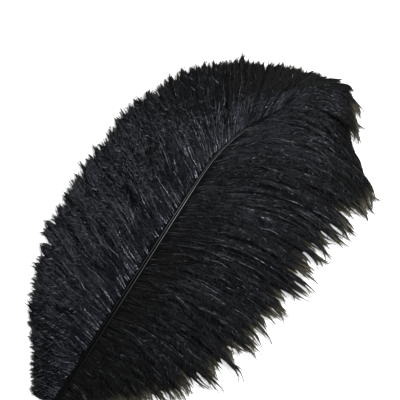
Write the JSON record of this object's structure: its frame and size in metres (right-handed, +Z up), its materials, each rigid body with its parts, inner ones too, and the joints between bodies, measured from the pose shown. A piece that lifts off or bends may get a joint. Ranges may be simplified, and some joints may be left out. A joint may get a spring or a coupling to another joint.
{
  "type": "ostrich feather",
  "caption": "Black ostrich plume lying flat: a tapering shaft with a bare quill, a curled tip and soft vanes of loose barbs that hang together in locks.",
  "frame": {"origin": "on the table under the middle of the plume's box", "axes": "+X along the shaft from the quill to the tip, +Y to the left vane as seen from above, +Z up from the table"},
  "size_m": [0.477, 0.2716, 0.0222],
  "materials": {
    "plume": "black barbs with a soft cool sheen, on a darker satin shaft"
  },
  "bodies": {
    "root": {"feather": "plume"}
  },
  "joints": []
}
